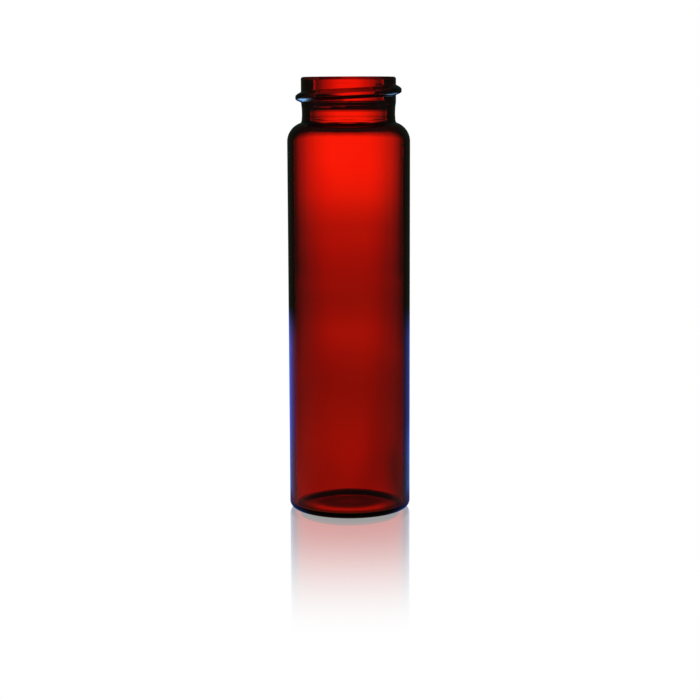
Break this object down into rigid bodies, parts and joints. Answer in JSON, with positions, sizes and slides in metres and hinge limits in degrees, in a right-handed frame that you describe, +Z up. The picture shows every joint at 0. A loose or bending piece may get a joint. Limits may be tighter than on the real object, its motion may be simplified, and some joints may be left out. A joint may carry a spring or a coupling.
{
  "type": "glass sample vial",
  "caption": "Straight amber glass vial with a rounded shoulder, an open screw-thread neck and a pushed-up base, for holding small liquid or powder samples.",
  "frame": {"origin": "centre of the foot, on the plane that the vial stands on", "axes": "+Z up along the vial's axis to the mouth; +X to the right and +Y away from the viewer, as the picture shows the thread"},
  "size_m": [0.0274, 0.0274, 0.0977],
  "materials": {
    "amber_glass": "clear fire-polished amber glass"
  },
  "bodies": {
    "root": {"glass_vial": "amber_glass"}
  },
  "joints": []
}
